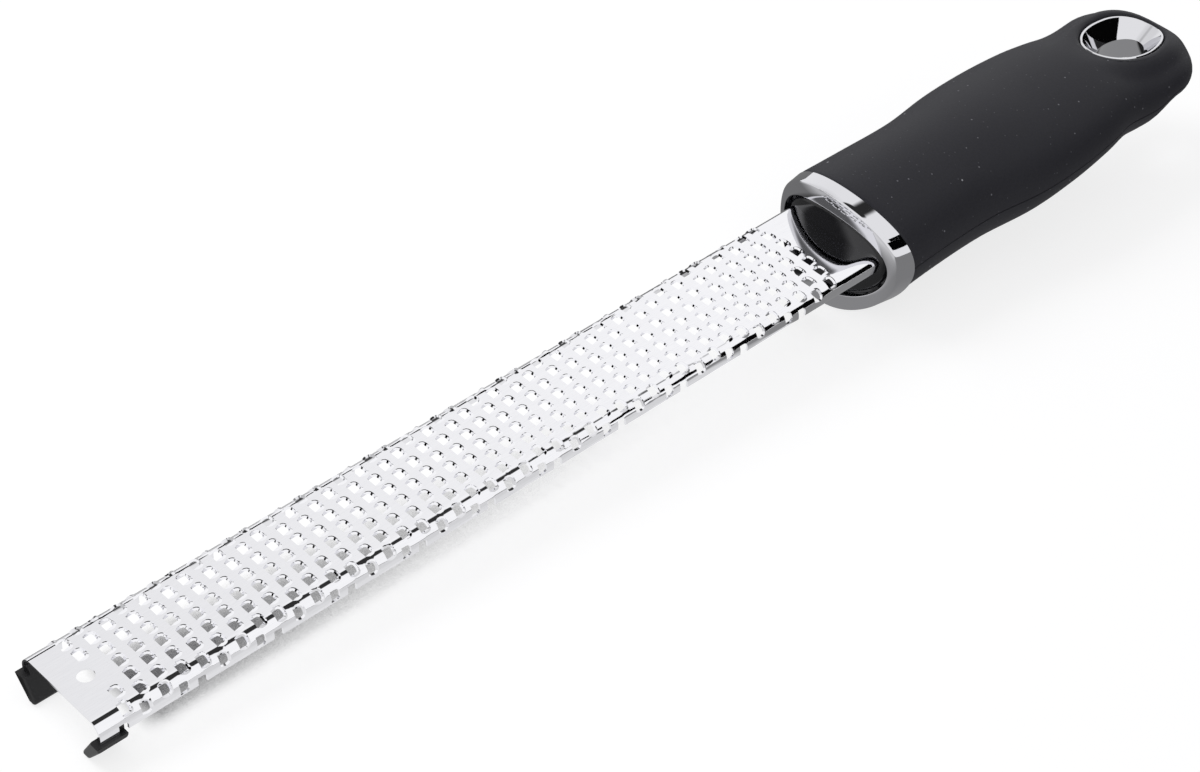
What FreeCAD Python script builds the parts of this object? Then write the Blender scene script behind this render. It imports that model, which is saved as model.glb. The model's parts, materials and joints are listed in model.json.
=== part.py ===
import FreeCAD, Part
import math
import os

import Sketcher
from FreeCAD import Placement, Rotation, Vector

doc = FreeCAD.newDocument("rasp_zester")
sheet = doc.addObject("Spreadsheet::Sheet", "Sizes")
sheet_names = []
NEAR = 1e-3
LEAST_CHANGE = 1.0


def size(alias, value):
    """Write one driving size, in millimetres, to the next row of the sheet."""
    sheet_names.append(alias)
    row = len(sheet_names)
    sheet.set("A%d" % row, alias)
    sheet.set("B%d" % row, str(value))
    sheet.setAlias("B%d" % row, alias)


# Blade: one folded sheet whose flat widens, and whose walls shrink, toward the handle
size("blade_thickness", 0.5)
size("bend_radius", 3.0)
size("tip_flat", 9.3)
size("root_flat", 10.6)
size("tip_drop", 4.4)
size("root_drop", 3.5)
size("channel_end", 209)
size("trim_width", 80)
size("tang_half", 8)
size("tang_end", 246)
size("tang_lap", 2)
size("tang_front_hole", 224)
size("tang_rear_hole", 239)
size("tang_hole_radius", 3)
size("tip_hole_at", 5.85)
size("tip_hole_radius", 1.8)

# Teeth: rows bowed toward the handle, each tooth the sharp rim of a rounded window in the sheet
size("row_count", 43)
size("row_first", 7.9)
size("row_pitch", 4.43)
size("row_bow_radius", 36)
size("column_pitch", 3.96)
size("window_width", 2.6)
size("window_length", 2.1)
size("window_root", 0.675)
size("window_side", 1.1)
size("window_shoulder_back", 0.32)
size("window_shoulder_half", 0.95)
size("window_crown_half", 0.45)
size("window_depth", 1.0)

# Feet: a fin under each front corner, leaning in from the wall's lower edge
size("foot_front", -1.3)
size("foot_length", 6.9)
size("foot_drop", 9.75)
size("foot_sole_inner", 7.1)
size("foot_sole_outer", 9.4)
size("foot_top_inner", 11.3)
size("foot_top_drop", 3.0)
size("foot_outer", 13.0)
size("foot_skirt_drop", 5.4)
size("foot_gap", 0.05)
size("foot_round", 0.6)
size("foot_lip", 0.4)

# Collar ring: an oval band that flares toward the grip, its front and rear bowed in plan
size("collar_front", 203.55)
size("collar_rear", 207.9)
size("collar_bow", 36.6)
size("collar_level", -4)
size("collar_lead", 202.5)
size("collar_lead_half", 16.9)
size("collar_lead_rise", 14.94)
size("collar_back", 213.5)
size("collar_back_half", 18.8)
size("collar_back_rise", 15.55)
size("bore_half", 15.6)
size("bore_rise", 10.7)

# Blade socket: nose behind the ring's face, flange in its bore, tenon in the handle
size("nose_front", 204.4)
size("nose_half", 14.7)
size("nose_rise", 10.1)
size("flange_front", 205.6)
size("flange_half", 15.55)
size("flange_rise", 10.65)
size("tenon_half", 12.5)
size("tenon_rise", 8.3)
size("tenon_front", 207)
size("tenon_end", 218)

# Handle stations: distance from the tip, half width, top level, lowest level
STATIONS = {
    "collar": (206, 18.6, 11.1, -19.0),
    "throat": (224, 18.0, 11.0, -17.5),
    "palm": (240, 17.95, 10.9, -17.0),
    "belly": (255.5, 19.9, 10.8, -16.2),
    "hip": (269, 20.2, 10.3, -14.0),
    "taper": (281, 19.25, 9.95, -12.1),
    "waist": (288.5, 17.95, 9.55, -11.25),
    "neck": (294.5, 17.5, 8.55, -12.0),
    "bulb": (300.5, 17.55, 7.7, -11.6),
    "crown": (308, 17.3, 7.05, -7.6),
}
STATION_SIZES = ("at", "half", "top", "low")
for station, values in STATIONS.items():
    for what, value in zip(STATION_SIZES, values):
        size("%s_%s" % (station, what), value)
size("tail_end", 323.5)
size("tail_steps", 7)
size("tail_blunt", 0.8)
size("sleeve_wall", 1.3)
size("core_wall", 1.0)
size("front_wall", 3)
size("room_end", 316)
size("core_reach", 30)
size("split_level", -0.2)
size("boss_radius", 4.5)
size("post_radius", 2.9)
size("post_root", 1)

# Hang eyelet: oval tube through the tail with a funnel from either face
size("eyelet_at", 306)
size("eyelet_long", 12.4)
size("eyelet_wide", 8.5)
size("eyelet_reach", 16)
size("eyelet_recess", 0.5)
size("eyelet_jacket", 1.0)
size("mouth_long", 12.3)
size("mouth_wide", 8.4)
size("mouth_top", 7.6)
size("mouth_top_slope", 0.15)
size("mouth_low", -10.6)
size("mouth_low_slope", -0.27)
size("throat_long", 7.6)
size("throat_wide", 4.7)
size("throat_level", 2.0)

doc.recompute()


def val(expression):
    """Number for an expression over the sheet's names."""
    result = sheet.evalExpression(expression)
    return float(getattr(result, "Value", result))


def named(expression):
    """The expression with the sheet named before each of its sizes, for use in any object."""
    out = word = ""
    for char in expression + " ":
        if char.isalnum() or char == "_":
            word += char
            continue
        out += ("Sizes." + word if word in sheet_names else word) + char
        word = ""
    return out.strip()


def bind(obj, **expressions):
    """Bind properties to sizes; x, y and z stand for the placement's base."""
    for prop, expression in expressions.items():
        path = ".Placement.Base." + prop if prop in ("x", "y", "z") else prop
        obj.setExpression(path, named(expression))
    return obj


def add(kind, name, links=None, **expressions):
    """One document object with its links to other objects and its bound sizes."""
    obj = doc.addObject(kind, name)
    for prop, value in (links or {}).items():
        setattr(obj, prop, value)
    return bind(obj, **expressions)


def cut(name, base, tool):
    return add("Part::Cut", name, {"Base": base, "Tool": tool})


def common(name, base, tool):
    return add("Part::Common", name, {"Base": base, "Tool": tool})


def fuse(name, shapes):
    return add("Part::MultiFuse", name, {"Shapes": shapes, "Refine": False})


def new_sketch(body, name, role, offset="0"):
    """Sketch on one of the body's own origin planes, moved along its normal."""
    sketch = body.newObject("Sketcher::SketchObject", name)
    plane = [f for f in body.Origin.OriginFeatures if f.Role == role][0]
    sketch.AttachmentSupport = [(plane, "")]
    sketch.MapMode = "FlatFace"
    sketch.setExpression("AttachmentOffset.Base.z", named(offset))
    return sketch


def pin(sketch, geometry, end, across, along):
    """Hold one point of the sketch at two sizes from the sketch's origin."""
    for kind, expression in (("DistanceX", across), ("DistanceY", along)):
        number = val(expression)
        at = sketch.addConstraint(Sketcher.Constraint(kind, -1, 1, geometry, end, number))
        sketch.setExpression("Constraints[%d]" % at, named(expression))


def polygon(sketch, points):
    """Closed outline through points given as pairs of expressions."""
    places = [Vector(val(a), val(b), 0) for a, b in points]
    total = len(points)
    for i in range(total):
        sketch.addGeometry(Part.LineSegment(places[i], places[(i + 1) % total]), False)
    for i, (across, along) in enumerate(points):
        sketch.addConstraint(Sketcher.Constraint("Coincident", i - 1 if i else total - 1, 2, i, 1))
        pin(sketch, i, 1, across, along)
    return sketch


def circle(sketch, across, along, radius):
    centre = Vector(val(across), val(along), 0)
    g = sketch.addGeometry(Part.Circle(centre, Vector(0, 0, 1), val(radius)), False)
    pin(sketch, g, 3, across, along)
    at = sketch.addConstraint(Sketcher.Constraint("Radius", g, val(radius)))
    sketch.setExpression("Constraints[%d]" % at, named(radius))
    return sketch


def edges_where(feature, test):
    """Names of the feature's edges that pass a test."""
    return ["Edge%d" % (i + 1) for i, e in enumerate(feature.Shape.Edges) if test(e)]


def pushed(body, kind, name, sketch, length, **settings):
    """Pad or pocket of one sketch; the volume shows that it met the solid."""
    before = body.Shape.Volume if body.Tip else 0.0
    feature = body.newObject("PartDesign::" + kind, name)
    feature.Profile = sketch
    for prop, value in settings.items():
        setattr(feature, prop, value)
    feature.setExpression("Length", named(length))
    doc.recompute()
    assert abs(feature.Shape.Volume - before) > LEAST_CHANGE, name
    return feature


def rounded(body, name, radius, test):
    """Fillet of the body's edges that pass a test."""
    base = body.Tip
    fillet = body.newObject("PartDesign::Fillet", name)
    fillet.Base = (base, edges_where(base, test))
    fillet.setExpression("Radius", named(radius))
    doc.recompute()
    return fillet


# Blade channel: a tapered block with rounded folds, less the same block one sheet thickness in
def folded_block(name, inward, depth):
    body = doc.addObject("PartDesign::Body", name)
    tip, root = ("(%s_flat + bend_radius - %s)" % (end, inward) for end in ("tip", "root"))
    plan = polygon(new_sketch(body, name + "_plan", "XY_Plane", "-" + inward), [
        ("0", "-" + tip), ("channel_end", "-" + root), ("channel_end", root), ("0", tip)])
    pushed(body, "Pad", name + "_pad", plan, depth, Reversed=True)
    top = -val(inward) - NEAR
    long_edge = val("channel_end") - NEAR
    rounded(body, name + "_folds", "bend_radius - " + inward, lambda edge: edge.Length > long_edge
            and all(v.Point.z > top for v in edge.Vertexes))
    return body


outside = folded_block("channel_outside", "0", "tip_drop")
wall_edge = polygon(new_sketch(outside, "wall_edge", "XZ_Plane"), [
    ("0", "-tip_drop"), ("channel_end", "-root_drop"),
    ("channel_end", "-2 * tip_drop"), ("0", "-2 * tip_drop")])
pushed(outside, "Pocket", "wall_trim", wall_edge, "trim_width", Midplane=True)
channel = cut("channel", outside, folded_block("channel_inside", "blade_thickness", "2 * tip_drop"))

tang = doc.addObject("PartDesign::Body", "tang")
tang_sketch = polygon(new_sketch(tang, "tang_outline", "XY_Plane"), [
    ("channel_end - tang_lap", "-tang_half"), ("tang_end", "-tang_half"),
    ("tang_end", "tang_half"), ("channel_end - tang_lap", "tang_half")])
for hole in ("tang_front_hole", "tang_rear_hole"):
    circle(tang_sketch, hole, "0", "tang_hole_radius")
pushed(tang, "Pad", "tang_pad", tang_sketch, "blade_thickness", Reversed=True)
tip_drill = add("Part::Cylinder", "tip_drill", Radius="tip_hole_radius", Height="4 * blade_thickness",
                x="tip_hole_at", z="-2 * blade_thickness")
blank = cut("blank", fuse("channel_and_tang", [channel, tang]), tip_drill)
doc.recompute()


def sheet_frame(along, across):
    """Placement of a point of the unrolled sheet: +X to the handle, +Z out of the face."""
    share = along / val("channel_end")
    flat = val("tip_flat") + share * (val("root_flat") - val("tip_flat"))
    radius = val("bend_radius")
    side = math.copysign(1.0, across)
    past = max(0.0, abs(across) - flat)
    turn = min(past / radius, math.pi / 2)
    down_wall = max(0.0, past - radius * math.pi / 2)
    y = min(abs(across), flat) + radius * math.sin(turn)
    z = -radius * (1 - math.cos(turn)) - down_wall
    return Placement(Vector(along, side * y, z), Rotation(Vector(1, 0, 0), -side * math.degrees(turn)))


def tooth_places():
    """Frame of each tooth; columns shift by quarters of a pitch from row to row."""
    shifts = (0.25, 0.75, 0.0, 0.5)
    reach = val("tip_flat + tip_drop") + val("bend_radius") * (math.pi / 2 - 1)
    pitch = val("column_pitch")
    hole_clear = val("tip_hole_radius + window_width")
    last = int(reach / pitch) + 1
    places = []
    for row in range(int(val("row_count"))):
        apex = val("row_first") + row * val("row_pitch")
        for column in range(-last, last + 1):
            across = (column + shifts[row % len(shifts)]) * pitch
            if abs(across) > reach or (row == 0 and abs(across) < hole_clear):
                continue
            along = apex - across ** 2 / (2 * val("row_bow_radius"))
            places.append(sheet_frame(along, across))
    return places


def window_solid():
    """Rounded window of one tooth, its straight side toward the tip."""
    half = val("window_width") / 2
    root = -val("window_root")
    far = root + val("window_length")
    near_half = [(root, half), (root + val("window_side"), half),
                 (far - val("window_shoulder_back"), val("window_shoulder_half")),
                 (far, val("window_crown_half"))]
    outline = [(u, -v) for u, v in near_half] + [(u, v) for u, v in reversed(near_half)]
    depth = val("window_depth")
    points = [Vector(u, v, -depth) for u, v in outline]
    return Part.Face(Part.makePolygon(points + points[:1])).extrude(Vector(0, 0, 2 * depth))


# Teeth: the blank pierced by one window at every place; the outermost only notch the walls' edges
cutters = []
for place in tooth_places():
    cutter = window_solid()
    cutter.Placement = place
    cutters.append(cutter)
windows = doc.addObject("Part::Feature", "tooth_windows")
windows.Shape = Part.makeCompound(cutters)
blade = cut("toothed_sheet", blank, windows)


# Feet: one leaning section pushed along the blade, its free edges rounded, its top set back in front
def foot(label, side):
    body = doc.addObject("PartDesign::Body", label + "_fin")
    wall = "tip_flat + bend_radius - blade_thickness - foot_gap"
    section = [("foot_top_inner", "-foot_top_drop"),
               (wall, "-foot_top_drop"),
               (wall, "-(tip_drop + foot_gap)"),
               ("foot_outer", "-(tip_drop + foot_gap)"),
               ("foot_outer", "-foot_skirt_drop"),
               ("foot_sole_outer", "-foot_drop"),
               ("foot_sole_inner", "-foot_drop")]
    signed = [("%d * (%s)" % (side, a), b) for a, b in section]
    outline = polygon(new_sketch(body, label + "_section", "YZ_Plane", "foot_front"), signed)
    pushed(body, "Pad", label + "_pad", outline, "foot_length")
    low = -val("foot_skirt_drop") - NEAR
    rounded(body, label + "_round", "foot_round", lambda edge: edge.BoundBox.ZMin < low and (
        edge.BoundBox.ZMax < low or edge.BoundBox.XLength < NEAR))
    ahead_of_lip = polygon(new_sketch(body, label + "_front", "XZ_Plane"), [
        ("2 * foot_front", "0"), ("foot_lip", "0"),
        ("foot_lip", "-(tip_drop + foot_gap)"), ("2 * foot_front", "-(tip_drop + foot_gap)")])
    pushed(body, "Pocket", label + "_front_trim", ahead_of_lip, "trim_width", Midplane=True)
    return body


foot_left = foot("foot_left", 1)
foot_right = foot("foot_right", -1)

LEVEL = Rotation()
UPRIGHT = Rotation(Vector(1, 1, 1), 120)


def oval(name, turn, long, short, x, z):
    """Ellipse across the handle's length, level, or turned some other way."""
    ellipse = add("Part::Ellipse", name, MajorRadius=long, MinorRadius=short, x=x, z=z)
    ellipse.Placement.Rotation = turn
    return ellipse


def skin(name, sections, ruled=False):
    return add("Part::Loft", name, {"Sections": sections, "Solid": True, "Ruled": ruled})


def plug(name, half, rise, front, rear):
    """Straight oval plug along the handle's length, at the collar's level."""
    return skin(name, [oval("%s_%s" % (name, end), UPRIGHT, half, rise, x, "collar_level")
                       for end, x in (("front", front), ("rear", rear))], True)


def ahead(name, x):
    """Space ahead of a face that bows in plan, its middle at x."""
    block = add("Part::Box", name + "_block", Length="1.5 * collar_bow", Width="2 * collar_bow",
                Height="2 * collar_bow", x="%s - collar_bow" % x, y="-collar_bow", z="-collar_bow")
    drum = add("Part::Cylinder", name + "_drum", Radius="collar_bow", Height="2 * collar_bow",
               x="%s + collar_bow" % x, z="-collar_bow")
    return cut(name, block, drum)


# Collar ring
ahead_of_grip = ahead("ahead_of_grip", "collar_rear")
ring_form = skin("ring_form", [oval("ring_" + end, UPRIGHT, "collar_%s_half" % end, "collar_%s_rise" % end,
                                    "collar_" + end, "collar_level") for end in ("lead", "back")], True)
ring_bowed = cut("ring_bowed", ring_form, ahead("ahead_of_ring", "collar_front"))
ring_band = common("ring_band", ring_bowed, ahead_of_grip)
collar_ring = cut("ring_less_bore", ring_band,
                  plug("ring_bore", "bore_half", "bore_rise", "collar_lead", "collar_back"))

# Blade socket
nose = cut("nose", plug("nose_form", "nose_half", "nose_rise", "collar_lead", "tenon_front"),
           ahead("ahead_of_nose", "nose_front"))
flange_form = plug("flange_form", "flange_half", "flange_rise", "collar_lead", "collar_back")
flange_bowed = cut("flange_bowed", flange_form, ahead("ahead_of_flange", "flange_front"))
flange = common("flange", flange_bowed, ahead_of_grip)
tenon = plug("tenon", "tenon_half", "tenon_rise", "tenon_front", "tenon_end")
socket_form = fuse("socket_form", [nose, flange, tenon])
blade_socket = cut("socket_less_blade", socket_form, blank)


# Handle: oval stations with an eased one between each pair, closed by a rounded tail
def station_rows():
    """Expressions for the sizes of every station, in order along the handle."""
    names = list(STATIONS)
    rows = []
    for i, name in enumerate(names):
        rows.append(["%s_%s" % (name, what) for what in STATION_SIZES])
        if name != names[-1]:
            around = (name, names[i + 1], names[max(0, i - 1)], names[min(i + 2, len(names) - 1)])
            rows.append(["(9 * ({0}_{4} + {1}_{4}) - {2}_{4} - {3}_{4}) / 16".format(*around, what)
                         for what in STATION_SIZES])
    return rows


def handle_form(name, inset):
    """Smooth form through the stations, every size drawn in by the inset."""
    sections = []
    for at, half, top, low in station_rows():
        sections.append(oval("%s_%d" % (name, len(sections)), UPRIGHT, "%s - (%s)" % (half, inset),
                             "(%s - %s) / 2 - (%s)" % (top, low, inset), at, "(%s + %s) / 2" % (top, low)))
    for step in range(1, int(val("tail_steps")) + 1):
        turn = "(90 deg * %d / (tail_steps + tail_blunt))" % step
        sections.append(oval("%s_tail_%d" % (name, step), UPRIGHT,
                             "(crown_half - (%s)) * cos%s" % (inset, turn),
                             "((crown_top - crown_low) / 2 - (%s)) * cos%s" % (inset, turn),
                             "crown_at + (tail_end - crown_at - (%s)) * sin%s" % (inset, turn),
                             "(crown_top + crown_low) / 2"))
    return skin(name, sections)


core_form = handle_form("core_form", "sleeve_wall")
rim_form = handle_form("rim_form", "eyelet_recess")


# Hang eyelet
def tube(name, wall):
    """Straight oval tube through the tail, grown by a wall."""
    return skin(name, [oval("%s_%s" % (name, end), LEVEL, "eyelet_long + " + wall, "eyelet_wide + " + wall,
                            "eyelet_at", z)
                       for end, z in (("top", "eyelet_reach"), ("bottom", "-eyelet_reach"))], True)


def mouth(end):
    """Wide end of a funnel, sloped as the grip slopes there."""
    slope = Rotation(Vector(0, 1, 0), math.degrees(math.atan(val("mouth_%s_slope" % end))))
    return oval("mouth_" + end, slope, "mouth_long", "mouth_wide", "eyelet_at", "mouth_" + end)


eyelet_tube = tube("eyelet_tube", "0")
throat = oval("throat", LEVEL, "throat_long", "throat_wide", "eyelet_at", "throat_level")
funnels = skin("funnels", [mouth("low"), throat, mouth("top")], True)
hang_eyelet = cut("eyelet_less_funnels", common("eyelet_form", eyelet_tube, rim_form), funnels)

# Grip sleeve
sleeve_form = cut("sleeve_form", handle_form("grip_form", "0"), core_form)
grip_sleeve = cut("sleeve_less_eyelet", cut("sleeve_bowed", sleeve_form, ahead_of_grip), eyelet_tube)

# Core halves: a shell around the tang, split level with it, with a boss above and below each hole
room_box = add("Part::Box", "room_box", Length="room_end - collar_lead", Width="2 * core_reach",
               Height="2 * core_reach", x="collar_lead", y="-core_reach", z="-core_reach")
room = common("room", handle_form("room_form", "sleeve_wall + core_wall"), room_box)
room = cut("room_bowed", room, ahead("ahead_of_room", "collar_rear + front_wall"))
room = cut("room_less_jacket", room, tube("jacket", "eyelet_jacket"))
shell = cut("core_bowed", core_form, ahead_of_grip)
for tool in (room, eyelet_tube, socket_form):
    shell = cut("core_less_" + tool.Name, shell, tool)


def half_core(label, box_level, boss_level):
    """One half of the shell and its two bosses, which end on the tang."""
    box = add("Part::Box", label + "_box", Length="tail_end - collar_lead", Width="2 * core_reach",
              Height="core_reach", x="collar_lead", y="-core_reach", z=box_level)
    bosses = [add("Part::Cylinder", "%s_%s" % (label, hole), Radius="boss_radius", Height="core_reach",
                  x=hole, z=boss_level) for hole in ("tang_front_hole", "tang_rear_hole")]
    trimmed = common(label + "_bosses", fuse(label + "_boss_pair", bosses), core_form)
    return [common(label + "_shell", shell, box), trimmed]


core_upper = fuse("core_upper_half", half_core("core_upper", "split_level", "0"))
posts = [add("Part::Cylinder", "post_" + hole, Radius="post_radius", Height="post_root + blade_thickness",
             x=hole, z="-blade_thickness - post_root") for hole in ("tang_front_hole", "tang_rear_hole")]
core_lower = fuse("core_lower_half", posts + half_core(
    "core_lower", "split_level - core_reach", "-blade_thickness - core_reach"))
doc.recompute()

# Resting pose: turned about the blade's width until the soles and the collar's rear edge meet the floor
NODES = {"blade": blade, "foot_left": foot_left, "foot_right": foot_right, "collar_ring": collar_ring,
         "blade_socket": blade_socket, "core_upper": core_upper, "core_lower": core_lower,
         "grip_sleeve": grip_sleeve, "hang_eyelet": hang_eyelet}
faults = [o.Name for o in doc.Objects if {"Invalid", "Error"} & set(o.State)]
faults += [label for label, node in NODES.items() if node.Shape.isNull() or not node.Shape.Solids]
assert not faults, faults
sole_at = val("foot_front + foot_round")
rise_growth = val("(collar_back_rise - collar_lead_rise) / (collar_back - collar_lead)")
ring_low = val("collar_level - collar_lead_rise") - rise_growth * val("collar_rear - collar_lead")
tilt = Rotation(Vector(0, 1, 0), -math.degrees(math.atan2(
    -ring_low - val("foot_drop"), val("collar_rear") - sole_at)))
box = FreeCAD.BoundBox()
for node in NODES.values():
    turned = node.Shape.copy()
    turned.Placement = Placement(Vector(), tilt).multiply(turned.Placement)
    box.add(turned.optimalBoundingBox(False))
rest = Placement(Vector(-box.Center.x, -box.Center.y, -box.ZMin), tilt)

os.makedirs("parts", exist_ok=True)
for label, node in NODES.items():
    node.Label = label
    node.Placement = rest
for label, node in NODES.items():
    shape = node.Shape
    assert not shape.isNull() and shape.isValid(), label
    print("%-13s solids %d volume %9.1f  x %7.1f..%6.1f  y %6.1f..%5.1f  z %5.2f..%5.2f" % (
        label, len(shape.Solids), shape.Volume, shape.BoundBox.XMin, shape.BoundBox.XMax,
        shape.BoundBox.YMin, shape.BoundBox.YMax, shape.BoundBox.ZMin, shape.BoundBox.ZMax))
    shape.exportStep("parts/%s.step" % label)
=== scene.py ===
# %% [markdown]
# # A rasp zester
# The tool is a long folded strip of steel covered in small teeth, held by a soft black handle.
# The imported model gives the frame: every piece made here goes where the solids are, in metres.

# %% Load the frame
import json
import math

import bmesh
import bpy
from mathutils import Matrix, Vector


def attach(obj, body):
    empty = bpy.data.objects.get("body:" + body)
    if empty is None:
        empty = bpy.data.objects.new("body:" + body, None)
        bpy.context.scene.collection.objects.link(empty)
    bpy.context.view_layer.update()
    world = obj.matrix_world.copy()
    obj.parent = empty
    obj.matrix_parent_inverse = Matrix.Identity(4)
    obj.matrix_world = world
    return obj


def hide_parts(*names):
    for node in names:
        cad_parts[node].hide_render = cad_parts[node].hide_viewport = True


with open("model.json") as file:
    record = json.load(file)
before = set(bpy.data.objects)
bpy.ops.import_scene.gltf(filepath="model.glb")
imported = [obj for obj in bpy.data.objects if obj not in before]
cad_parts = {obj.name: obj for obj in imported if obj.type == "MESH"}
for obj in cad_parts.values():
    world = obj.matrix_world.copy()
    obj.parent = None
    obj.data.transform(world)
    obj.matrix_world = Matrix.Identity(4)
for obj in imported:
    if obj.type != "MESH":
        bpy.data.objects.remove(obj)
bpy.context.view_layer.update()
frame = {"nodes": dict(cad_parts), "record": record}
nodes = frame["nodes"]
print("nodes:", sorted(nodes))

# %% [markdown]
# Sizes are easiest to read along the blade: X runs from the tip to the handle, Z leaves the toothed
# face, and everything is in millimetres. The tool rests on its feet and collar, a little tilted, so
# one matrix takes a finished piece from the blade's frame to the resting frame. The hole near the
# tip is stored in the record with its place and axis, and it fixes that matrix.

# %% The blade's frame and the resting frame
MM = 0.001
TIP_HOLE_AT = 5.85
SHEET = 0.5
tip_hole = next(m for m in frame["record"]["mounts"] if m["name"] == "tip_hole")
hole_axis = Vector(tip_hole["axis"])
tilt = Matrix.Rotation(math.atan2(hole_axis.x, hole_axis.z), 4, "Y")
hole_middle = Vector((TIP_HOLE_AT, 0, -SHEET / 2)) * MM
REST = Matrix.Translation(Vector(tip_hole["pos_m"]) - tilt @ hole_middle) @ tilt @ Matrix.Scale(MM, 4)
print("tilt in degrees: %.3f" % math.degrees(math.atan2(-hole_axis.x, hole_axis.z)))


# %% [markdown]
# A few small helpers serve every piece. One clears the selection, because operators act on all that
# is selected. Another takes a piece modelled in millimetres to its resting place, applies that to
# the mesh so the object itself stays at the origin, and ties it to the frame.

# %% Helpers for finished pieces
def clear_selection():
    if bpy.context.object and bpy.context.object.mode != "OBJECT":
        bpy.ops.object.mode_set(mode="OBJECT")
    bpy.ops.object.select_all(action="DESELECT")


def pick(piece):
    clear_selection()
    piece.select_set(True)
    bpy.context.view_layer.objects.active = piece


def in_edit(piece, *steps):
    """Run edit-mode operators, each on everything, on one piece."""
    pick(piece)
    bpy.ops.object.mode_set(mode="EDIT")
    for step in steps:
        bpy.ops.mesh.select_all(action="SELECT")
        step()
    bpy.ops.object.mode_set(mode="OBJECT")


def close_up(piece):
    """Merge doubled points and point every face outwards."""
    in_edit(piece, lambda: bpy.ops.mesh.remove_doubles(threshold=1e-4),
            lambda: bpy.ops.mesh.normals_make_consistent(inside=False))


def settle(piece, material, node, smooth_angle=35):
    """Move a piece to the resting frame and let it stand for its solid."""
    close_up(piece)
    pick(piece)
    piece.matrix_world = REST
    bpy.ops.object.transform_apply(location=True, rotation=True, scale=True)
    bpy.ops.object.shade_smooth_by_angle(angle=math.radians(smooth_angle))
    piece.data.materials.clear()
    piece.data.materials.append(material)
    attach(piece, "root")
    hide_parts(node)
    print("%s: %d faces" % (piece.name, len(piece.data.polygons)))


# %% [markdown]
# The camera stands where the photographer stood: ahead of the tip on the near side, looking along
# the tool. Its place and direction were worked out from the blade's regular rows of teeth.

# %% Camera
EYE = Vector((-170.7, -307.3, 379.5))
LOOK = Vector((0.528, 0.530, -0.663))
CAMERA_UP = Vector((0.437, 0.500, 0.748))
PHOTO_WIDTH = 1200
FOCAL_PIXELS = 2774
camera_data = bpy.data.cameras.new("camera")
camera_data.sensor_width = 36
camera_data.lens = FOCAL_PIXELS / PHOTO_WIDTH * camera_data.sensor_width
camera_data.clip_start = 0.01
camera = bpy.data.objects.new("camera", camera_data)
bpy.context.scene.collection.objects.link(camera)
back = -(tilt.to_3x3() @ LOOK).normalized()
side = (tilt.to_3x3() @ CAMERA_UP).cross(back).normalized()
upward = back.cross(side)
turn = Matrix((side, upward, back)).transposed().to_4x4()
camera.matrix_world = Matrix.Translation(REST @ EYE) @ turn
bpy.context.scene.camera = camera
print("camera at", [round(v, 3) for v in camera.location])


# %% [markdown]
# Colours are written as the eye sees them, as sRGB hex values, and shaders want linear light. One
# function turns the one into the other, and one adds a node with its settings and links.

# %% Colour and node helpers
def linear(hex_colour):
    parts = [int(hex_colour[i:i + 2], 16) / 255 for i in (1, 3, 5)]
    return [c / 12.92 if c <= 0.04045 else ((c + 0.055) / 1.055) ** 2.4 for c in parts] + [1.0]


def node(tree, kind, settings=None, **inputs):
    """Add a node; settings are its properties, inputs are values or other nodes' sockets."""
    made = tree.nodes.new(kind)
    for name, value in (settings or {}).items():
        setattr(made, name, value)
    for name, value in inputs.items():
        key = int(name[1:]) if name[0] == "_" else name.replace("_", " ")
        if isinstance(value, bpy.types.NodeSocket):
            tree.links.new(value, made.inputs[key])
        else:
            made.inputs[key].default_value = value
    return made


def new_material(name, **shader_values):
    """Material with one principled shader; returns its tree and shader."""
    material = bpy.data.materials.new(name)
    material.use_nodes = True
    tree = material.node_tree
    shader = tree.nodes["Principled BSDF"]
    for key, value in shader_values.items():
        shader.inputs[key.replace("_", " ")].default_value = value
    return material, tree, shader


# %% [markdown]
# The tool lies on a white table that gives some light of its own, so its shadow stays faint. Close
# under the blade the table carries a painted shadow: ambient occlusion finds where, soft limits keep
# it to the ground below the blade, and there a dim grey glow takes the place of the lit table. Metal
# sees the table greyer than the eye does, as a painted reflection, darkest along a strip behind the
# blade and by the collar. These greys are set by place on the table and only glossy rays see them.

# %% Table
FLOOR_SIZE, FLOOR_DROP_MM = 6.0, 0.2
LIT_SHARE, TABLE_GLOW = 0.36, 1.2
CLOSE_MM, SHADE_STARTS, SHADE_FULL = 20.0, 0.64, 0.38
UNDER_BLADE = (("X", -150, -145), ("X", 40, 20), ("Y", -13, -9), ("Y", 15, 11))
REFLECTION_STRIPS = ((-30, 0.7), (-14, 0.85), (7, 0.85), (11, 0.05), (26, 0.05), (34, 0.55))
STRIP_REACH_MM = 60.0
COLLAR_STARTS_MM, COLLAR_FULL_MM, COLLAR_REFLECTION_GREY = 12, 30, 0.35
clear_selection()
bpy.ops.mesh.primitive_plane_add(size=FLOOR_SIZE, location=(0, 0, -FLOOR_DROP_MM * MM))
floor = bpy.context.object
floor.name = "floor"
table, tree, shader = new_material("white_table", Base_Color=linear("#f4f4f6"), Roughness=0.9)
shader.inputs["Specular IOR Level"].default_value = 0.0
path = node(tree, "ShaderNodeLightPath")
spot = node(tree, "ShaderNodeTexCoord")
axes = node(tree, "ShaderNodeSeparateXYZ", Vector=spot.outputs["Object"])
glow = node(tree, "ShaderNodeEmission", Color=(1, 1, 1, 1), Strength=TABLE_GLOW)
open_table = node(tree, "ShaderNodeMixShader", _0=LIT_SHARE, _1=glow.outputs[0], _2=shader.outputs[0])
# Painted shadow: ambient occlusion, held to the ground below the blade, mixes a dim grey glow into the
# table there.
close = node(tree, "ShaderNodeAmbientOcclusion", Distance=CLOSE_MM * MM)
shade = node(tree, "ShaderNodeMapRange", Value=close.outputs["AO"], From_Min=SHADE_STARTS,
             From_Max=SHADE_FULL).outputs[0]
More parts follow.
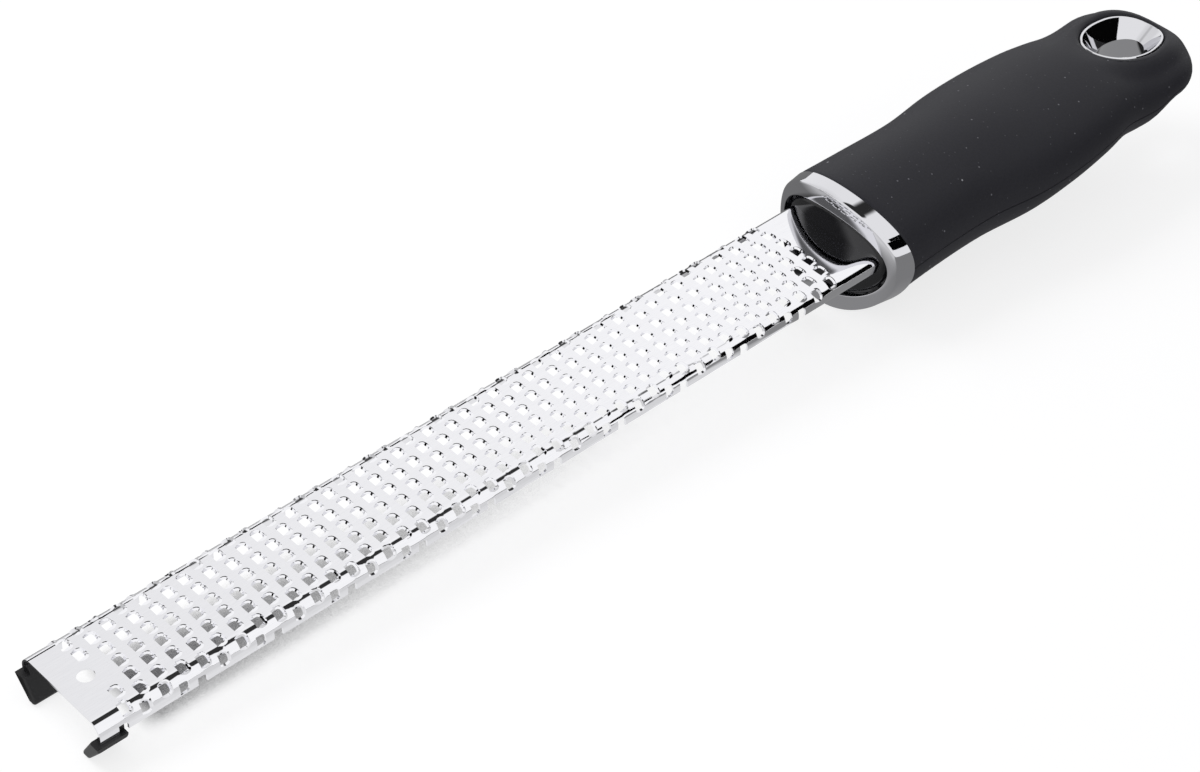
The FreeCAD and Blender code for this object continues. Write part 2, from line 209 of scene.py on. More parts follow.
for axis, start_mm, full_mm in UNDER_BLADE:
    edge = node(tree, "ShaderNodeMapRange", Value=axes.outputs[axis], From_Min=start_mm * MM,
                From_Max=full_mm * MM)
    shade = node(tree, "ShaderNodeMath", {"operation": "MULTIPLY"}, _0=shade,
                 _1=edge.outputs[0]).outputs[0]
painted_shadow = node(tree, "ShaderNodeEmission", Color=linear("#3c3c40"), Strength=1.0)
seen = node(tree, "ShaderNodeMixShader", _0=shade, _1=open_table.outputs[0], _2=painted_shadow.outputs[0])
# Painted reflection: greys set by place across the table, darkest in a strip behind the blade and near the
# collar, that only glossy rays see.
across = node(tree, "ShaderNodeMapRange", Value=axes.outputs["Y"], From_Min=-STRIP_REACH_MM * MM,
              From_Max=STRIP_REACH_MM * MM)
reflection_strips = node(tree, "ShaderNodeValToRGB", Fac=across.outputs[0])
for extra in range(len(REFLECTION_STRIPS) - 2):
    reflection_strips.color_ramp.elements.new(0.5)
for stop, (y_mm, grey) in zip(reflection_strips.color_ramp.elements, REFLECTION_STRIPS):
    stop.position = 0.5 + y_mm / (2 * STRIP_REACH_MM)
    stop.color = (grey, grey, grey, 1)
by_collar = node(tree, "ShaderNodeMapRange", Value=axes.outputs["X"], From_Min=COLLAR_STARTS_MM * MM,
                 From_Max=COLLAR_FULL_MM * MM, To_Min=1.0, To_Max=COLLAR_REFLECTION_GREY)
painted_reflection = node(tree, "ShaderNodeEmission", Color=reflection_strips.outputs[0], Strength=by_collar.outputs[0])
surface = node(tree, "ShaderNodeMixShader", _0=path.outputs["Is Glossy Ray"], _1=seen.outputs[0],
               _2=painted_reflection.outputs[0])
tree.links.new(surface.outputs[0], tree.nodes["Material Output"].inputs["Surface"])
floor.data.materials.append(table)
print("table ready")

# %% [markdown]
# Polished metal has no colour of its own: it shows the room. The room here is a white tent with a
# small dark opening overhead, where the lamp hangs, a second one that the gloss nose mirrors, and a
# wide, slightly greyer part behind the blade. They draw the dark line along the bend and shade the
# steel. Each is a soft-edged patch of the sky around one direction, given as a bearing from +X, a
# height, the angles where it is full and where it ends, all in degrees, and how dark it is.

# %% White tent with dark openings
DIFFUSE_LIGHT = 0.5
OPENINGS = {
    "lamp_hatch": (-10, 71, 13, 17, 0.97),
    "nose_hatch": (135, 41, 12, 22, 0.85),
    "grey_side": (103, 45, 24, 46, 0.14),
}
world = bpy.data.worlds.new("studio_tent")
bpy.context.scene.world = world
world.use_nodes = True
tree = world.node_tree
sky = tree.nodes["Background"]
path = node(tree, "ShaderNodeLightPath")
spot = node(tree, "ShaderNodeTexCoord")


def opening(light, bearing, height, inner, outer, depth):
    """Darken the tent's light inside an angle round one direction."""
    level = math.cos(math.radians(height))
    aim = Vector((level * math.cos(math.radians(bearing)), level * math.sin(math.radians(bearing)),
                  math.sin(math.radians(height))))
    near = node(tree, "ShaderNodeVectorMath", {"operation": "DOT_PRODUCT"},
                _0=spot.outputs["Generated"], _1=tilt.to_3x3() @ aim)
    dark = node(tree, "ShaderNodeMapRange", {"interpolation_type": "SMOOTHSTEP"},
                Value=near.outputs["Value"], From_Min=math.cos(math.radians(outer)),
                From_Max=math.cos(math.radians(inner)), To_Min=1.0, To_Max=1.0 - depth)
    return node(tree, "ShaderNodeMath", {"operation": "MULTIPLY"}, _0=light, _1=dark.outputs[0]).outputs[0]


tent = 1.0
for patch in OPENINGS.values():
    tent = opening(tent, *patch)
lit = node(tree, "ShaderNodeMix", _0=path.outputs["Is Glossy Ray"], _2=DIFFUSE_LIGHT, _3=tent)
seen = node(tree, "ShaderNodeMath", {"operation": "MAXIMUM"}, _0=path.outputs["Is Camera Ray"],
            _1=path.outputs["Is Transmission Ray"])
strength = node(tree, "ShaderNodeMix", _0=seen.outputs[0], _2=lit.outputs[0], _3=1.0)
sky.inputs["Color"].default_value = (1, 1, 1, 1)
tree.links.new(strength.outputs[0], sky.inputs["Strength"])
print("tent openings:", ", ".join(OPENINGS))


# %% [markdown]
# Dark cards stand round the tool as photographers set them, one for the collar, one for the eyelet,
# and a long low one behind the blade that draws the cutting edges of the far teeth. Only mirrors see
# them. One softbox from the far side gives the matte pieces their form.

# %% Cards and softbox
def dark_card(name, place, aim, wide, tall, within=Matrix()):
    """Card that faces a point; its place and size are in metres, or in another frame's units."""
    clear_selection()
    bpy.ops.mesh.primitive_plane_add(size=1.0)
    card = bpy.context.object
    card.name = name
    card.scale = (wide, tall, 1)
    card.rotation_euler = (Vector(aim) - Vector(place)).to_track_quat("Z", "Y").to_euler()
    card.location = place
    bpy.ops.object.transform_apply(location=True, rotation=True, scale=True)
    card.data.transform(within)
    card.visible_camera = card.visible_diffuse = card.visible_shadow = card.visible_transmission = False
    card.data.materials.append(velvet)


def softbox(name, place, aim, size, watts):
    lamp = bpy.data.lights.new(name, "AREA")
    lamp.shape = "SQUARE"
    lamp.size = size
    lamp.energy = watts
    holder = bpy.data.objects.new(name, lamp)
    bpy.context.scene.collection.objects.link(holder)
    holder.location = place
    holder.rotation_euler = (Vector(aim) - Vector(place)).to_track_quat("-Z", "Y").to_euler()
    holder.visible_glossy = False


velvet, tree, shader = new_material("black_velvet", Base_Color=linear("#050505"), Roughness=1.0)
shader.inputs["Specular IOR Level"].default_value = 0.0
dark_card("collar_card", (0.142, -0.232, 0.102), (0.05, -0.018, 0.015), 0.09, 0.06)
dark_card("eyelet_card", (0.35, -0.2, 0.118), (0.145, 0.0, 0.025), 0.4, 0.2)
dark_card("blade_card", (45, 40, 13.8), (45, 0, 13.8), 250, 8.5, REST)
softbox("key_softbox", (-0.3, 0.7, 0.9), (0, 0, 0), 0.6, 5.0)
bpy.context.scene.view_settings.view_transform = "Standard"
print("tent, cards and lamp ready")

# %% [markdown]
# The steel is a bright rolled stainless sheet. Rolling leaves fine lines along the strip, so the
# mirror it makes is clear but not quite even. The real lines are a few hundredths of a millimetre
# apart and are drawn coarser here, so that they show.

# %% Steel
GRAIN_MM, GRAIN_STRETCH = 0.3, (0.06, 1.0, 1.0)
steel, tree, shader = new_material("rolled_stainless_steel", Metallic=1.0)
place = node(tree, "ShaderNodeTexCoord")
stretch = node(tree, "ShaderNodeMapping", Vector=place.outputs["Object"], Scale=GRAIN_STRETCH)
grain = node(tree, "ShaderNodeTexNoise", Vector=stretch.outputs[0], Scale=1 / (GRAIN_MM * MM), Detail=3.0)
tone = node(tree, "ShaderNodeMixRGB", _0=grain.outputs[0], _1=linear("#efeff3"), _2=linear("#f8f8fb"))
rough = node(tree, "ShaderNodeMapRange", Value=grain.outputs[0], To_Min=0.03, To_Max=0.07)
tree.links.new(tone.outputs[0], shader.inputs["Base Color"])
tree.links.new(rough.outputs[0], shader.inputs["Roughness"])
print("finish:", steel.name)

# %% [markdown]
# The collar and the eyelet are chrome plated over a polished surface, a hard dark mirror that is
# only broken by faint polishing haze. The nose is gloss ABS, near black, from a polished mould.

# %% Chrome and gloss plastic
HAZE_MM = 2.0


def hazy(name, colour, rough_low, rough_high, **shader_values):
    """Polished finish whose roughness drifts a little from place to place."""
    made, tree, shader = new_material(name, Base_Color=linear(colour), **shader_values)
    place = node(tree, "ShaderNodeTexCoord")
    haze = node(tree, "ShaderNodeTexNoise", Vector=place.outputs["Object"], Scale=1 / (HAZE_MM * MM))
    rough = node(tree, "ShaderNodeMapRange", Value=haze.outputs[0], From_Min=0.3, From_Max=0.7,
                 To_Min=rough_low, To_Max=rough_high)
    tree.links.new(rough.outputs[0], shader.inputs["Roughness"])
    return made


chrome = hazy("polished_chrome", "#dedee2", 0.02, 0.05, Metallic=1.0)
gloss = hazy("gloss_black_abs", "#131316", 0.05, 0.12, IOR=1.53)
print("finishes:", chrome.name, gloss.name)

# %% [markdown]
# The grip is a soft thermoplastic rubber with a fine matte mould texture. Dust clings to it, so
# pale specks of a few tenths of a millimetre sit on the black, many faint ones and a few clear ones.

# %% Soft rubber
TEXTURE_MM = 0.5
SPECKS = ((2.0, 0.2, "#46464c"), (4.0, 0.26, "#6a6a70"), (9.0, 0.34, "#a8a8ae"))
rubber, tree, shader = new_material("soft_touch_tpe", Roughness=0.55, IOR=1.5)
shader.inputs["Specular IOR Level"].default_value = 0.3
place = node(tree, "ShaderNodeTexCoord")
fine = node(tree, "ShaderNodeTexNoise", Vector=place.outputs["Object"], Scale=1 / (TEXTURE_MM * MM),
            Detail=4.0)
tint = node(tree, "ShaderNodeMixRGB", _0=fine.outputs[0], _1=linear("#1d1d23"), _2=linear("#28282f"))
colour = tint.outputs[0]
for cell_mm, radius_mm, dust in SPECKS:
    cells = node(tree, "ShaderNodeTexVoronoi", Vector=place.outputs["Object"], Scale=1 / (cell_mm * MM))
    speck = node(tree, "ShaderNodeMapRange", Value=cells.outputs["Distance"],
                 From_Min=radius_mm / cell_mm, From_Max=0.6 * radius_mm / cell_mm)
    colour = node(tree, "ShaderNodeMixRGB", _0=speck.outputs[0], _1=colour, _2=linear(dust)).outputs[0]
tree.links.new(colour, shader.inputs["Base Color"])
bump = node(tree, "ShaderNodeBump", Height=fine.outputs[0], Strength=0.2, Distance=0.1 * MM)
tree.links.new(bump.outputs[0], shader.inputs["Normal"])
print("finish:", rubber.name)


# %% [markdown]
# Round pieces are grown ring by ring, as by hand: a circle is added, its edge is extruded, and each
# new ring is put at its own size and place. A ring is given as a function of the angle round it.

# %% Growing a piece ring by ring
def grow(name, rings, count=96, cap=True, turns=None):
    """Tube through the rings; caps fill both ends, or the last ring meets the first."""
    clear_selection()
    bpy.ops.mesh.primitive_circle_add(vertices=len(turns or range(count)), radius=1.0, location=(0, 0, 0))
    piece = bpy.context.object
    piece.name = name
    piece.data.name = name
    bpy.ops.object.mode_set(mode="EDIT")
    mesh = bmesh.from_edit_mesh(piece.data)
    angle = mesh.verts.layers.float.new("angle")
    order = sorted(mesh.verts, key=lambda vert: math.atan2(vert.co.y, vert.co.x))
    for vert, place in zip(order, turns or [math.atan2(v.co.y, v.co.x) for v in order]):
        vert[angle] = place
    for number, ring in enumerate(rings):
        if number:
            bpy.ops.mesh.extrude_edges_move()
        elif cap:
            bpy.ops.mesh.edge_face_add()
        mesh = bmesh.from_edit_mesh(piece.data)
        angle = mesh.verts.layers.float["angle"]
        for vert in mesh.verts:
            if vert.select:
                vert.co = ring(vert[angle])
    if cap:
        bpy.ops.mesh.edge_face_add()
    bpy.ops.object.mode_set(mode="OBJECT")
    piece.data.attributes.remove(piece.data.attributes["angle"])
    return piece


# %% [markdown]
# The blade starts as the flat blank it is etched from. Each tooth is the sharp rim of a window that
# is straight toward the tip and rounded toward the handle. The rows bow toward the handle, and their
# columns shift by quarters of the pitch. Cutting some three hundred windows with Booleans would be
# slow and leave poor faces, so they are drawn as outlines in the flat blank and the rest is filled.
# Round its arch each window has a narrow lip, and the lip rises to the cutting edge. Where a window
# meets the blank's long edge it opens there and becomes a notch without a lip.

# %% Sizes of the blank and its teeth
TIP_FLAT, ROOT_FLAT = 9.3, 10.6
BEND = 3.0
TIP_DROP, ROOT_DROP = 4.4, 3.5
CHANNEL_END, TANG_END, TANG_HALF = 209.0, 246.0, 8.0
ROWS, FIRST_ROW, ROW_PITCH, ROW_BOW = 43, 7.9, 4.43, 36.0
COLUMN_PITCH = 3.96
SHIFTS = (0.25, 0.75, 0.0, 0.5)
TIP_HOLE_R, HOLE_HALF_SIDES = 1.8, 20
WINDOW_HALF, WINDOW_LONG, WINDOW_ROOT, WINDOW_SIDE = 1.3, 2.1, 0.675, 0.9
ARCH_STEPS, ARCH_POWER = 12, 0.62
LIP_WIDE, LIP_RISE = 0.45, 0.3
SLIVER = 0.2
TIP_EDGE, ROOT_EDGE = (flat + drop + BEND * (math.pi / 2 - 1)
                       for flat, drop in ((TIP_FLAT, TIP_DROP), (ROOT_FLAT, ROOT_DROP)))


def edge_at(x):
    """Half width of the flat blank at a distance from the tip."""
    return TIP_EDGE + (ROOT_EDGE - TIP_EDGE) * x / CHANNEL_END


def window_outline(lip=0.0):
    """Points from one straight corner of a window round its arch to the other, or of its lip."""
    points = [(-WINDOW_ROOT, -WINDOW_HALF)]
    straight = WINDOW_SIDE - WINDOW_ROOT
    for step in range(ARCH_STEPS + 1):
        turn = math.pi * step / ARCH_STEPS - math.pi / 2
        reach = (WINDOW_LONG - WINDOW_SIDE + lip) * max(0.0, math.cos(turn)) ** ARCH_POWER
        wide = (WINDOW_HALF + lip) * abs(math.sin(turn)) ** ARCH_POWER
        points.append((straight + reach, math.copysign(wide, math.sin(turn))))
    return points + [(-WINDOW_ROOT, WINDOW_HALF)]


window = window_outline()
lip_foot = window_outline(LIP_WIDE)


# %% Outlines of the blank
def tooth_places():
    """Middle of each tooth on the flat blank: distance from the tip, distance across."""
    last = int(ROOT_EDGE / COLUMN_PITCH) + 1
    for row in range(ROWS):
        for column in range(-last, last + 1):
            off = (column + SHIFTS[row % len(SHIFTS)]) * COLUMN_PITCH
            if abs(off) > TIP_EDGE or (row == 0 and abs(off) < TIP_HOLE_R + 2 * WINDOW_HALF):
                continue
            yield FIRST_ROW + row * ROW_PITCH - off ** 2 / (2 * ROW_BOW), off


def notch(along, off):
    """Outline of a window that opens over the blank's edge, from its tip side to its handle side."""
    past = edge_at(along) - abs(off)
    rim = [point for point in window if point[1] < past]
    points = [(-WINDOW_ROOT, past)] + rim + [(rim[-1][0], past)]
    return [(along + u, math.copysign(abs(off) + v, off)) for u, v in points]


windows, lip_feet, notches = [], [], []
for along, off in tooth_places():
    if abs(off) + WINDOW_HALF + LIP_WIDE > edge_at(along) - SLIVER:
        notches.append((along, off))
    else:
        windows.append([(along + u, off + v) for u, v in window])
        lip_feet.append([(along + u, off + v) for u, v in lip_foot])
near_edge = [(0, -TIP_EDGE)]
far_edge = [(0, TIP_EDGE)]
for along, off in sorted(notches):
    (far_edge if off > 0 else near_edge).extend(notch(along, off))
near_edge += [(CHANNEL_END, -ROOT_EDGE), (CHANNEL_END, -TANG_HALF), (TANG_END, -TANG_HALF)]
far_edge += [(CHANNEL_END, ROOT_EDGE), (CHANNEL_END, TANG_HALF), (TANG_END, TANG_HALF)]
hole_turns = [i * math.pi / HOLE_HALF_SIDES for i in range(2 * HOLE_HALF_SIDES)]
hole = [(TIP_HOLE_AT + TIP_HOLE_R * math.cos(turn), TIP_HOLE_R * math.sin(turn)) for turn in hole_turns]
print("edge points:", len(near_edge), "near,", len(far_edge), "far")

# %% Fill the blank
verts, edges = [], []
for loop in [near_edge + far_edge[::-1], hole] + lip_feet:
    start = len(verts)
    verts.extend((x, y, 0.0) for x, y in loop)
    edges.extend((start + i, start + (i + 1) % len(loop)) for i in range(len(loop)))
blank = bpy.data.meshes.new("blade")
blank.from_pydata(verts, edges, [])
blade = bpy.data.objects.new("blade", blank)
bpy.context.scene.collection.objects.link(blade)
in_edit(blade, lambda: bpy.ops.mesh.fill(use_beauty=True))

# %% Lips
work = bmesh.new()
work.from_mesh(blank)
lift = work.verts.layers.float.new("lift")
outer = list(work.verts)
first = len(near_edge) + len(far_edge) + len(hole)
for number, outline in enumerate(windows):
    feet = outer[first + number * len(window):first + (number + 1) * len(window)]
    crest = [feet[0]] + [work.verts.new((x, y, 0.0)) for x, y in outline[1:-1]] + [feet[-1]]
    for vert in crest[1:-1]:
        vert[lift] = LIP_RISE
    for i in range(len(window) - 1):
        corners = [feet[i], feet[i + 1], crest[i + 1], crest[i]]
        work.faces.new([v for k, v in enumerate(corners) if v not in corners[:k]])
work.to_mesh(blank)
work.free()
print("windows:", len(windows), "notches:", len(notches), "blank faces:", len(blade.data.polygons))

# %% [markdown]
# Folding needs cuts along the two bends, so the blank is bisected on lines that spread with the
# widening flat. Then each point is folded over the bend, and Solidify gives the sheet its gauge.

# %% Fold the blank
SPREAD = (ROOT_FLAT - TIP_FLAT) / CHANNEL_END
BEND_STEPS = 8
for step in range(BEND_STEPS + 1):
    past = BEND * math.pi / 2 * step / BEND_STEPS
    for hand in (1, -1):
        in_edit(blade, lambda: bpy.ops.mesh.bisect(
            plane_co=(0, hand * (TIP_FLAT + past), 0), plane_no=(-hand * SPREAD, 1, 0)))


def fold(x, off, rise):
    """Place of a point of the blank after folding, at some rise above its outer face."""
    flat = TIP_FLAT + SPREAD * x
    past = max(0.0, abs(off) - flat)
    turned = min(past / BEND, math.pi / 2)
    down = max(0.0, past - BEND * math.pi / 2)
    y = min(abs(off), flat) + (BEND + rise) * math.sin(turned)
    return Vector((x, math.copysign(y, off), (BEND + rise) * math.cos(turned) - BEND - down))


rises = blade.data.attributes["lift"].data
for vert in blade.data.vertices:
    vert.co = fold(vert.co.x, vert.co.y, rises[vert.index].value)
blade.data.attributes.remove(blade.data.attributes["lift"])
in_edit(blade, lambda: bpy.ops.mesh.normals_make_consistent(inside=False))
facing_up = sum(face.area * face.normal.z for face in blade.data.polygons)
if facing_up < 0:
    in_edit(blade, lambda: bpy.ops.mesh.flip_normals())
pick(blade)
gauge = blade.modifiers.new("gauge", "SOLIDIFY")
gauge.thickness = SHEET
gauge.offset = -1
bpy.ops.object.modifier_apply(modifier="gauge")
settle(blade, steel, "blade", 25)

# %% [markdown]
# Collar, nose and grip meet on faces that are upright but bowed in plan, so their middles lead and
# their sides trail. A ring on such a face is set back by the bow at each of its points. The collar
# is an oval band that flares toward the grip. A spin only makes plain circles, so its profile is
# walked round once, over small rounded edges, and closes on itself.

# %% Collar ring
BOW = 36.6
COLLAR_FRONT, COLLAR_REAR, COLLAR_LEVEL = 203.55, 207.9, -4.0
FLARE_FROM = 202.5
BAND_HALF, HALF_FLARE = 16.9, 0.1727
BAND_RISE, RISE_FLARE = 14.94, 0.0555
BORE_HALF, BORE_RISE = 15.6, 10.7
FRONT_ROUND = ((0.0, 0.4), (0.05, 0.2), (0.18, 0.06), (0.4, 0.0))
BORE_ROUND = ((0.3, 0.0), (0.07, 0.07), (0.0, 0.25))
REAR_INSET = 0.2
BAND_START, BAND_LONG, BAND_STEPS = COLLAR_FRONT + 0.4, COLLAR_REAR - COLLAR_FRONT - 0.6, 4
SETTLE_PASSES = 4


def bow(y):
    """How far a bowed face trails its middle at a distance across."""
    return BOW - math.sqrt(BOW ** 2 - y ** 2)


def bowed(front, half, rise):
    """Oval ring on a bowed face, at the collar's level."""
    def point(turn):
        y = half * math.cos(turn)
        return Vector((front + bow(y), y, COLLAR_LEVEL + rise * math.sin(turn)))
    return point


def band(front, inset=0.0):
    """Ring of the collar's flared outside; width and bow depend on each other and settle quickly."""
    def point(turn):
        x = front
        for settled in range(SETTLE_PASSES):
            y = (BAND_HALF + HALF_FLARE * (x - FLARE_FROM) - inset) * math.cos(turn)
            x = front + bow(y)
        rise = BAND_RISE + RISE_FLARE * (x - FLARE_FROM) - inset
        return Vector((x, y, COLLAR_LEVEL + rise * math.sin(turn)))
    return point


def collar_rings():
    bore_edge = [bowed(COLLAR_FRONT + back, BORE_HALF + grown, BORE_RISE + grown)
                 for back, grown in BORE_ROUND]
    yield bore_edge[-1]
    for back, inset in FRONT_ROUND:
        yield band(COLLAR_FRONT + back, inset)
    for step in range(1, BAND_STEPS + 1):
        yield band(BAND_START + BAND_LONG * step / BAND_STEPS)
    yield band(COLLAR_REAR, REAR_INSET)
    yield bowed(COLLAR_REAR, BORE_HALF, BORE_RISE)
    yield from bore_edge


collar = grow("collar_ring", list(collar_rings()), 192, cap=False)
settle(collar, chrome, "collar_ring", 30)

# %% [markdown]
# The nose is a gloss pad just behind the ring's face, with a narrow dark gap round it, and the blade
# runs into it. A wider flange behind the gap closes the ring, and a tenon goes into the handle.

# %% Blade socket
NOSE_FRONT, NOSE_HALF, NOSE_RISE, NOSE_ROUND, NOSE_STEPS = 204.4, 14.7, 10.1, 0.9, 6
FLANGE_FRONT, FLANGE_HALF, FLANGE_RISE = 205.6, 15.55, 10.65
TENON_HALF, TENON_RISE, TENON_END = 12.5, 8.3, 218.0


def socket_rings():
    yield bowed(NOSE_FRONT, 0.5 * NOSE_HALF, 0.5 * NOSE_RISE)
    for step in range(NOSE_STEPS + 1):
        turn = math.pi / 2 * step / NOSE_STEPS
        inset = NOSE_ROUND * (1 - math.sin(turn))
        yield bowed(NOSE_FRONT + NOSE_ROUND * (1 - math.cos(turn)), NOSE_HALF - inset, NOSE_RISE - inset)
    yield bowed(FLANGE_FRONT, NOSE_HALF, NOSE_RISE)
    yield bowed(FLANGE_FRONT, FLANGE_HALF, FLANGE_RISE)
    yield bowed(COLLAR_REAR, FLANGE_HALF, FLANGE_RISE)
    yield bowed(COLLAR_REAR, TENON_HALF, TENON_RISE)
    yield lambda turn: Vector((TENON_END, TENON_HALF * math.cos(turn),
                               COLLAR_LEVEL + TENON_RISE * math.sin(turn)))


socket = grow("blade_socket", list(socket_rings()), 128)
settle(socket, gloss, "blade_socket")

# %% [markdown]
# The handle's sections are ovals whose size changes smoothly from the collar to a hip, a neck and
# a rounded tail. A cubic curve through the measured stations gives every ring in between. Round the
# eyelet the upper side flattens to a land, so that the rim of the hole lies level across the tail.

# %% Handle sections
STATIONS = {
    "collar": (206, 18.6, 11.1, -19.0),
    "throat": (224, 18.0, 11.0, -17.5),
    "palm": (240, 17.95, 10.9, -17.0),
    "belly": (255.5, 19.9, 10.8, -16.2),
    "hip": (269, 20.2, 10.3, -14.0),
    "taper": (281, 19.25, 9.95, -12.1),
    "waist": (288.5, 17.95, 9.55, -11.25),
    "neck": (294.5, 17.5, 8.55, -12.0),
    "bulb": (300.5, 17.55, 7.7, -11.6),
    "crown": (308, 17.3, 7.05, -7.6),
}
TAIL_END = 323.5
stations = list(STATIONS.values())
CROWN_AT = stations[-1][0]


def section(x):
    """Half width, half height and middle level of the handle at a distance from the tip."""
    shrink = 1.0
    if x > CROWN_AT:
        share = (x - CROWN_AT) / (TAIL_END - CROWN_AT)
        shrink = math.sqrt(max(0.0, 1 - share * share))
        x = CROWN_AT
    i = max(k for k in range(len(stations) - 1) if stations[k][0] <= x)
    here, there = stations[i], stations[i + 1]
    before, after = stations[max(i - 1, 0)], stations[min(i + 2, len(stations) - 1)]
    span = there[0] - here[0]
    t = (x - here[0]) / span
    values = []
    for k in (1, 2, 3):
        slope_in = (there[k] - before[k]) / (there[0] - before[0]) * span
        slope_out = (after[k] - here[k]) / (after[0] - here[0]) * span
        if i + 2 >= len(stations):
            slope_out = (there[k] - here[k]) * 0.5
        values.append((2 * t ** 3 - 3 * t ** 2 + 1) * here[k] + (t ** 3 - 2 * t ** 2 + t) * slope_in
                      + (3 * t ** 2 - 2 * t ** 3) * there[k] + (t ** 3 - t ** 2) * slope_out)
    half, top, low = values
    return half * shrink, (top - low) / 2 * shrink, (top + low) / 2


EYELET_AT, EYELET_LONG, EYELET_WIDE = 306.0, 12.4, 8.5
LAND_FLAT, LAND_END = 1.12, 1.65


def flattened(x, y, z):
    """Height of the upper side after the land round the eyelet is levelled to its crest."""
    _, rise, level = section(x)
    reach = math.hypot((x - EYELET_AT) / EYELET_LONG, y / EYELET_WIDE)
    share = min(1.0, max(0.0, (LAND_END - reach) / (LAND_END - LAND_FLAT)))
    return z + (level + rise - z) * share * share * (3 - 2 * share)


def skin_level(x, y, top=True):
    """Height of the handle's surface over a point of its plan."""
    half, rise, level = section(x)
    up = rise * math.sqrt(max(0.0, 1 - (y / half) ** 2)) if half else 0.0
    return flattened(x, y, level + up) if top else level - up


print("handle at the eyelet: half width %.2f, half height %.2f, level %.2f" % section(EYELET_AT))


# %% [markdown]
# The grip is moulded in two sides, and their parting line runs along its widest line as a fine
# groove. Three points close together at either side of each ring make that groove, so no cut is needed.

# %% Grip
GRIP_SIDES = 120
GROOVE_HALF_ANGLE, GROOVE_DEPTH, GROOVE_SHARE = 0.014, 0.4, 0.1
BOW_FADE = 24.0
GRIP_EDGE = ((0.0, 0.45), (0.12, 0.2), (0.4, 0.05))
GRIP_START, GRIP_STEPS = 0.8, 44
TAIL_STEPS, TAIL_SHORT = 14, 0.3
grip_turns = [2 * math.pi * i / GRIP_SIDES - math.pi for i in range(GRIP_SIDES)]
for seam, hand in ((0, -1), (0, 1), (-math.pi, 1), (math.pi, -1)):
    grip_turns.append(seam + hand * GROOVE_HALF_ANGLE)
grip_turns.sort()


def hoop(base, inset=0.0):
    """Ring of the grip: bowed in plan behind the collar, upright further back."""
    share = min(1.0, (base - COLLAR_REAR) / BOW_FADE)
    weight = 1 - share * share * (3 - 2 * share)

    def point(turn):
        x = base
        for settled in range(SETTLE_PASSES):
            half, rise, level = section(x)
            groove = min(GROOVE_DEPTH, GROOVE_SHARE * half) if abs(math.sin(turn)) < 1e-6 else 0.0
            y = (half - inset - groove) * math.cos(turn)
            x = base + weight * bow(y)
        z = level + (rise - inset) * math.sin(turn)
        return Vector((x, y, flattened(x, y, z) if math.sin(turn) > 0 else z))
    return point


grip_long = CROWN_AT - COLLAR_REAR - GRIP_START
grip_rings = [hoop(COLLAR_REAR + back, inset) for back, inset in GRIP_EDGE]
grip_rings += [hoop(COLLAR_REAR + GRIP_START + grip_long * i / GRIP_STEPS) for i in range(GRIP_STEPS + 1)]
for i in range(1, TAIL_STEPS + 1):
    share = math.sin(math.pi / 2 * i / (TAIL_STEPS + TAIL_SHORT))
    grip_rings.append(hoop(CROWN_AT + (TAIL_END - CROWN_AT) * share))
grip = grow("grip_sleeve", grip_rings, turns=grip_turns)
print("grip rings:", len(grip_rings))

# %% [markdown]
# The hole for the eyelet is cut with a Boolean. Its rim on the real grip is softly rounded, so a
# ring with that rounding is laid into the cut from above and from below and joined to the grip.

# %% Eyelet hole in the grip
CUT_GROWN, CUT_REACH = 1.3, 20.0
LIP_PROFILE = ((1.9, -0.01), (1.5, -0.015), (1.15, 0.03), (0.8, 0.14), (0.5, 0.34), (0.27, 0.64),
               (0.12, 1.05), (0.06, 1.6), (0.06, 3.0), (1.9, 3.0), (1.9, -0.01))


def level_oval(grown, height):
    """Oval ring lying level, grown from the eyelet's tube; its height depends on the place."""
    def point(turn):
        x = EYELET_AT + (EYELET_LONG + grown) * math.cos(turn)
        y = (EYELET_WIDE + grown) * math.sin(turn)
        return Vector((x, y, height(x, y)))
    return point


def depth_below(depth, top):
    """Height of a point at some depth under the grip's upper or lower surface."""
    return lambda x, y: skin_level(x, y, top) + (-depth if top else depth)


def lip_rings(top):
    """Rounded rim from the grip's surface down into the hole, and back beneath it."""
    return [level_oval(grown, depth_below(depth, top)) for grown, depth in LIP_PROFILE]


cut_rings = [level_oval(CUT_GROWN, lambda x, y, z=z: z) for z in (-CUT_REACH, CUT_REACH)]
cutter = grow("eyelet_cutter", cut_rings, 128)
close_up(cutter)
close_up(grip)
pick(grip)
pierce = grip.modifiers.new("eyelet_hole", "BOOLEAN")
pierce.object = cutter
pierce.operation = "DIFFERENCE"
pierce.solver = "EXACT"
bpy.ops.object.modifier_apply(modifier="eyelet_hole")
bpy.data.objects.remove(cutter)
lips = [grow("lip", lip_rings(top), 128, cap=False) for top in (True, False)]
for lip in lips:
    close_up(lip)
pick(grip)
for lip in lips:
    lip.select_set(True)
bpy.ops.object.join()
settle(grip, rubber, "grip_sleeve", 40)

# %% [markdown]
# The eyelet is a plated oval tube. From its thin rim a straight funnel narrows to a crisp throat not
# far below the upper face, and a longer funnel opens again to the lower face.

# %% Hang eyelet
RECESS, RIM, RIM_ROUND = 0.5, -0.7, 0.06
TUCK = 1.2
RIM_PROFILE = ((0.0, TUCK), (-0.04, RECESS + 0.16), (-0.2, RECESS), (RIM + 0.12, RECESS))
THROAT_LONG, THROAT_WIDE, THROAT_LEVEL = 7.6, 4.7, 2.0
FUNNEL_STEPS = 6


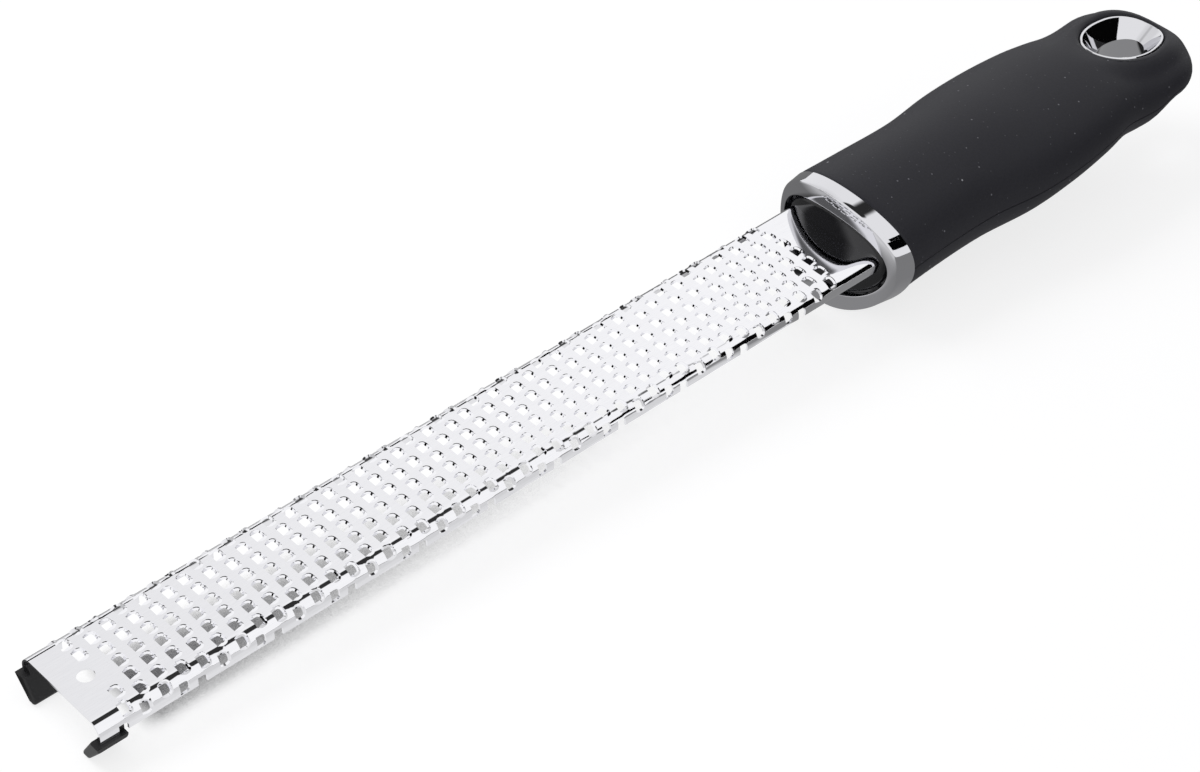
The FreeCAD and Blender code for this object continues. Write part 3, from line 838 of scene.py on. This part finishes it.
def funnel(share, top):
    """Ring part of the way from a rim to the throat."""
    rim = level_oval(RIM, depth_below(RECESS + RIM_ROUND, top))

    def point(turn):
        throat = Vector((EYELET_AT + THROAT_LONG * math.cos(turn), THROAT_WIDE * math.sin(turn),
                         THROAT_LEVEL))
        return rim(turn).lerp(throat, share)
    return point


def eyelet_rings():
    for grown, depth in RIM_PROFILE:
        yield level_oval(grown, depth_below(depth, True))
    for step in range(FUNNEL_STEPS + 1):
        yield funnel(step / FUNNEL_STEPS, True)
    for step in range(FUNNEL_STEPS):
        yield funnel(1 - (step + 1) / FUNNEL_STEPS, False)
    for grown, depth in reversed(RIM_PROFILE):
        yield level_oval(grown, depth_below(depth, False))
    yield level_oval(0.0, depth_below(TUCK, True))


eyelet = grow("hang_eyelet", list(eyelet_rings()), 128, cap=False)
settle(eyelet, chrome, "hang_eyelet", 25)

# %% [markdown]
# The feet and the hidden core halves are right as the solids give them, so they only take a finish.
# The feet are moulded rubber with a fine spark-eroded texture, and the core is plain moulded ABS.

# %% Solids that stay
def moulded(name, dark, pale, texture_mm, roughness):
    """Matte moulding with a fine texture in its tone and surface."""
    made, tree, shader = new_material(name, Roughness=roughness, IOR=1.5)
    place = node(tree, "ShaderNodeTexCoord")
    fine = node(tree, "ShaderNodeTexNoise", Vector=place.outputs["Object"], Scale=1 / (texture_mm * MM))
    tint = node(tree, "ShaderNodeMixRGB", _0=fine.outputs[0], _1=linear(dark), _2=linear(pale))
    bump = node(tree, "ShaderNodeBump", Height=fine.outputs[0], Strength=0.2, Distance=0.05 * MM)
    tree.links.new(tint.outputs[0], shader.inputs["Base Color"])
    tree.links.new(bump.outputs[0], shader.inputs["Normal"])
    return made


foot_rubber = moulded("moulded_foot_rubber", "#0c0c0d", "#151517", 0.3, 0.5)
core_abs = moulded("moulded_core_abs", "#1c1c1e", "#252528", 0.5, 0.5)
for name, finish in (("foot_left", foot_rubber), ("foot_right", foot_rubber),
                     ("core_upper", core_abs), ("core_lower", core_abs)):
    nodes[name].data.materials.clear()
    nodes[name].data.materials.append(finish)
print("solids kept: feet and core halves")
